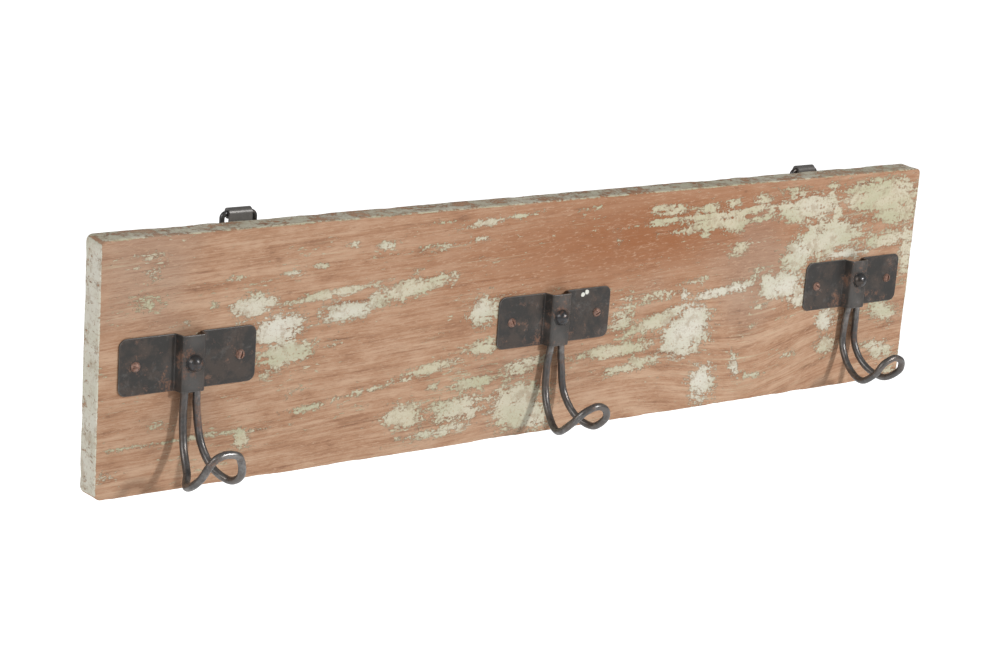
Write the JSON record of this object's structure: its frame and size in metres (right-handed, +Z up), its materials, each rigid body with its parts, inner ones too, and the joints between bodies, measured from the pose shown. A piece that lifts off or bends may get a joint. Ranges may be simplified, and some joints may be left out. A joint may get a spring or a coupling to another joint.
{
  "type": "wall hook rack",
  "caption": "Rectangular plank wall rack with bent double-wire coat hooks riveted into channelled steel plates, and ring hangers behind",
  "frame": {"origin": "middle of the board's back face, on the wall plane", "axes": "+X right along the board as seen from the front, +Y into the wall, +Z up"},
  "size_m": [0.65, 0.0787, 0.1623],
  "materials": {
    "board_wood": "bare reddish softwood with flaking cream and pale green paint",
    "plate_steel": "blackened steel sheet with light rust",
    "hook_wire": "dark oiled steel wire with rust bloom",
    "rivet_steel": "blackened steel with rust",
    "washer_steel": "dull steel",
    "screw_rust": "rusty coppery steel",
    "hanger_steel": "black steel",
    "ring_wire": "dark steel wire",
    "hanger_screw": "dull steel"
  },
  "bodies": {
    "rack": {"board": "board_wood", "hook_plate_left": "plate_steel", "wire_hook_left": "hook_wire", "hook_rivet_left": "rivet_steel", "rivet_washer_left": "washer_steel", "plate_screw_left_a": "screw_rust", "plate_screw_left_b": "screw_rust", "hook_plate_middle": "plate_steel", "wire_hook_middle": "hook_wire", "hook_rivet_middle": "rivet_steel", "rivet_washer_middle": "washer_steel", "plate_screw_middle_a": "screw_rust", "plate_screw_middle_b": "screw_rust", "hook_plate_right": "plate_steel", "wire_hook_right": "hook_wire", "hook_rivet_right": "rivet_steel", "rivet_washer_right": "washer_steel", "plate_screw_right_a": "screw_rust", "plate_screw_right_b": "screw_rust", "hanger_strap_left": "hanger_steel", "hanger_screw_left_upper": "hanger_screw", "hanger_screw_left_lower": "hanger_screw", "hanger_strap_right": "hanger_steel", "hanger_screw_right_upper": "hanger_screw", "hanger_screw_right_lower": "hanger_screw"},
    "ring_left": {"hanger_ring_left": "ring_wire"},
    "ring_right": {"hanger_ring_right": "ring_wire"}
  },
  "joints": [
    {"name": "ring_swing_left", "type": "hinge", "parent": "rack", "child": "ring_left", "pos_m": [-0.2245, 0.00328, 0.0815], "axis": [1, 0, 0], "range_deg": [0, 250]},
    {"name": "ring_swing_right", "type": "hinge", "parent": "rack", "child": "ring_right", "pos_m": [0.23, 0.00328, 0.0779], "axis": [1, 0, 0], "range_deg": [0, 220]}
  ]
}
